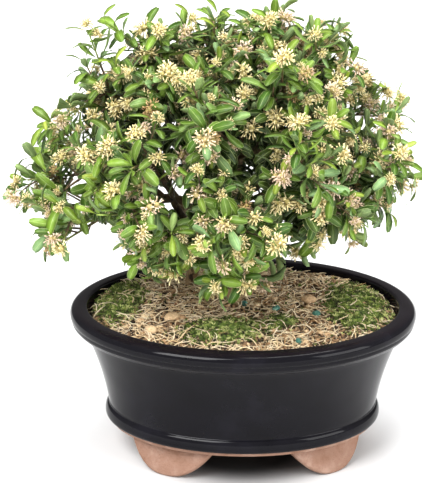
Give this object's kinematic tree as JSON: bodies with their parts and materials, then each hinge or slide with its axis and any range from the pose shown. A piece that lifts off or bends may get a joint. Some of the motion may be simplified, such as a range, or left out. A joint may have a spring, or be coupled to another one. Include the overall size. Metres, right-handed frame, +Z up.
{
  "type": "boxwood bonsai in an oval pot",
  "caption": "Small boxwood tree with a domed, flowering leafy crown, grown in soil in a footed oval glazed pot, as a table or shelf plant.",
  "frame": {"origin": "on the floor, under the middle of the box round tree and pot", "axes": "+Z up; +X to the right along the pot's length, seen from the front; -Y towards the front"},
  "size_m": [0.2324, 0.1982, 0.2674],
  "materials": {
    "dark_glaze": "high gloss",
    "plastic_mesh": "matte",
    "soil": "matte",
    "bark": "matte",
    "pellet": "matte",
    "bark_chip": "matte",
    "leaf": "satin"
  },
  "bodies": {
    "root": {"pot": "dark_glaze", "drain_screen_left": "plastic_mesh", "drain_screen_right": "plastic_mesh", "soil": "soil", "trunk_and_boughs": "bark", "fertiliser_pellet_1": "pellet", "fertiliser_pellet_2": "pellet", "fertiliser_pellet_3": "pellet", "fertiliser_pellet_4": "pellet", "bark_chip_1": "bark_chip", "bark_chip_2": "bark_chip", "bark_chip_3": "bark_chip", "leafy_spray_01": "leaf", "leafy_spray_02": "leaf", "leafy_spray_03": "leaf", "leafy_spray_04": "leaf", "leafy_spray_05": "leaf", "leafy_spray_06": "leaf", "leafy_spray_07": "leaf", "leafy_spray_08": "leaf", "leafy_spray_09": "leaf", "leafy_spray_10": "leaf", "leafy_spray_11": "leaf", "leafy_spray_12": "leaf", "leafy_spray_13": "leaf", "leafy_spray_14": "leaf", "leafy_spray_15": "leaf", "leafy_spray_16": "leaf", "leafy_spray_17": "leaf", "leafy_spray_18": "leaf", "leafy_spray_19": "leaf", "leafy_spray_20": "leaf", "leafy_spray_21": "leaf", "leafy_spray_22": "leaf", "leafy_spray_23": "leaf", "leafy_spray_24": "leaf", "leafy_spray_25": "leaf", "leafy_spray_26": "leaf", "leafy_spray_27": "leaf", "leafy_spray_28": "leaf", "leafy_spray_29": "leaf", "leafy_spray_30": "leaf", "leafy_spray_31": "leaf", "leafy_spray_32": "leaf", "leafy_spray_33": "leaf", "leafy_spray_34": "leaf", "leafy_spray_35": "leaf", "leafy_spray_36": "leaf", "leafy_spray_37": "leaf", "leafy_spray_38": "leaf", "leafy_spray_39": "leaf", "leafy_spray_40": "leaf", "leafy_spray_41": "leaf", "leafy_spray_42": "leaf", "leafy_spray_43": "leaf", "leafy_spray_44": "leaf", "leafy_spray_45": "leaf", "leafy_spray_46": "leaf"}
  },
  "joints": []
}
